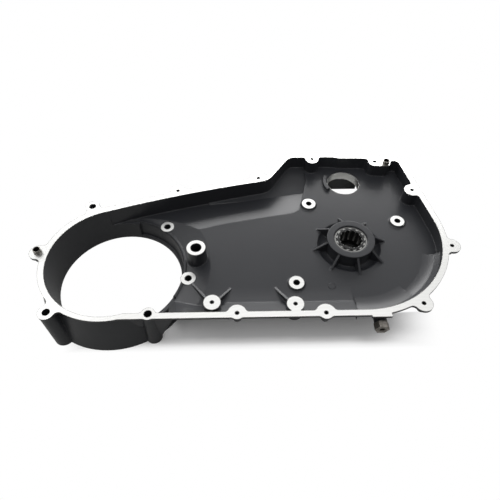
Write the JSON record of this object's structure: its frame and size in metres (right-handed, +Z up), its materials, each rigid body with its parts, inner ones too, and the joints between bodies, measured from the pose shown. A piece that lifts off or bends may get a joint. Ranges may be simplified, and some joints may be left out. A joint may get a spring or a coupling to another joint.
{
  "type": "motorcycle inner clutch cover",
  "caption": "Black cast inner clutch and primary cover with a machined rim, a round crankcase opening, a ribbed hub with a roller bearing, screw bosses and hollow dowels.",
  "frame": {"origin": "centre of the crankcase opening at the crankcase face", "axes": "+Z up out of the open side, along the opening's axis; +X along the straight front rim towards the bearing end"},
  "size_m": [0.5803, 0.3107, 0.0643],
  "materials": {
    "coated_casting": "black powder coat on cast aluminium, rim and boss faces machined bright",
    "dowel_steel": "dark oiled steel",
    "bearing_steel": "ground bearing steel",
    "roller_steel": "polished bearing steel",
    "cage_black": "blackened pressed steel",
    "spring_steel": "phosphated spring steel",
    "seal_rubber": "matte nitrile rubber",
    "plug_zinc": "dull zinc plate"
  },
  "bodies": {
    "casing": {"casing": "coated_casting", "front_dowel": "dowel_steel", "rear_dowel": "dowel_steel", "bearing_outer_ring": "bearing_steel", "retaining_ring": "spring_steel", "oil_seal": "seal_rubber", "drain_plug": "plug_zinc"},
    "bearing_cage": {"bearing_cage": "cage_black"},
    "roller_01": {"roller_01": "roller_steel"},
    "roller_02": {"roller_02": "roller_steel"},
    "roller_03": {"roller_03": "roller_steel"},
    "roller_04": {"roller_04": "roller_steel"},
    "roller_05": {"roller_05": "roller_steel"},
    "roller_06": {"roller_06": "roller_steel"},
    "roller_07": {"roller_07": "roller_steel"},
    "roller_08": {"roller_08": "roller_steel"},
    "roller_09": {"roller_09": "roller_steel"},
    "roller_10": {"roller_10": "roller_steel"},
    "roller_11": {"roller_11": "roller_steel"},
    "roller_12": {"roller_12": "roller_steel"},
    "roller_13": {"roller_13": "roller_steel"}
  },
  "joints": [
    {"name": "cage_spin", "type": "hinge", "parent": "casing", "child": "bearing_cage", "pos_m": [0.3226, 0.0323, 0.04], "axis": [0, 0, 1], "continuous": true},
    {"name": "roller_01_spin", "type": "hinge", "parent": "bearing_cage", "child": "roller_01", "pos_m": [0.34035, 0.0323, 0.042], "axis": [0, 0, 1], "continuous": true},
    {"name": "roller_02_spin", "type": "hinge", "parent": "bearing_cage", "child": "roller_02", "pos_m": [0.33832, 0.04055, 0.042], "axis": [0, 0, 1], "continuous": true},
    {"name": "roller_03_spin", "type": "hinge", "parent": "bearing_cage", "child": "roller_03", "pos_m": [0.33268, 0.04691, 0.042], "axis": [0, 0, 1], "continuous": true},
    {"name": "roller_04_spin", "type": "hinge", "parent": "bearing_cage", "child": "roller_04", "pos_m": [0.32474, 0.04992, 0.042], "axis": [0, 0, 1], "continuous": true},
    {"name": "roller_05_spin", "type": "hinge", "parent": "bearing_cage", "child": "roller_05", "pos_m": [0.31631, 0.0489, 0.042], "axis": [0, 0, 1], "continuous": true},
    {"name": "roller_06_spin", "type": "hinge", "parent": "bearing_cage", "child": "roller_06", "pos_m": [0.30931, 0.04407, 0.042], "axis": [0, 0, 1], "continuous": true},
    {"name": "roller_07_spin", "type": "hinge", "parent": "bearing_cage", "child": "roller_07", "pos_m": [0.30537, 0.03655, 0.042], "axis": [0, 0, 1], "continuous": true},
    {"name": "roller_08_spin", "type": "hinge", "parent": "bearing_cage", "child": "roller_08", "pos_m": [0.30537, 0.02805, 0.042], "axis": [0, 0, 1], "continuous": true},
    {"name": "roller_09_spin", "type": "hinge", "parent": "bearing_cage", "child": "roller_09", "pos_m": [0.30931, 0.02053, 0.042], "axis": [0, 0, 1], "continuous": true},
    {"name": "roller_10_spin", "type": "hinge", "parent": "bearing_cage", "child": "roller_10", "pos_m": [0.31631, 0.0157, 0.042], "axis": [0, 0, 1], "continuous": true},
    {"name": "roller_11_spin", "type": "hinge", "parent": "bearing_cage", "child": "roller_11", "pos_m": [0.32474, 0.01468, 0.042], "axis": [0, 0, 1], "continuous": true},
    {"name": "roller_12_spin", "type": "hinge", "parent": "bearing_cage", "child": "roller_12", "pos_m": [0.33268, 0.01769, 0.042], "axis": [0, 0, 1], "continuous": true},
    {"name": "roller_13_spin", "type": "hinge", "parent": "bearing_cage", "child": "roller_13", "pos_m": [0.33832, 0.02405, 0.042], "axis": [0, 0, 1], "continuous": true}
  ],
  "couplings": [
    {"joint": "roller_01_spin", "follows": "cage_spin", "ratio": -7.6},
    {"joint": "roller_02_spin", "follows": "cage_spin", "ratio": -7.6},
    {"joint": "roller_03_spin", "follows": "cage_spin", "ratio": -7.6},
    {"joint": "roller_04_spin", "follows": "cage_spin", "ratio": -7.6},
    {"joint": "roller_05_spin", "follows": "cage_spin", "ratio": -7.6},
    {"joint": "roller_06_spin", "follows": "cage_spin", "ratio": -7.6},
    {"joint": "roller_07_spin", "follows": "cage_spin", "ratio": -7.6},
    {"joint": "roller_08_spin", "follows": "cage_spin", "ratio": -7.6},
    {"joint": "roller_09_spin", "follows": "cage_spin", "ratio": -7.6},
    {"joint": "roller_10_spin", "follows": "cage_spin", "ratio": -7.6},
    {"joint": "roller_11_spin", "follows": "cage_spin", "ratio": -7.6},
    {"joint": "roller_12_spin", "follows": "cage_spin", "ratio": -7.6},
    {"joint": "roller_13_spin", "follows": "cage_spin", "ratio": -7.6}
  ]
}
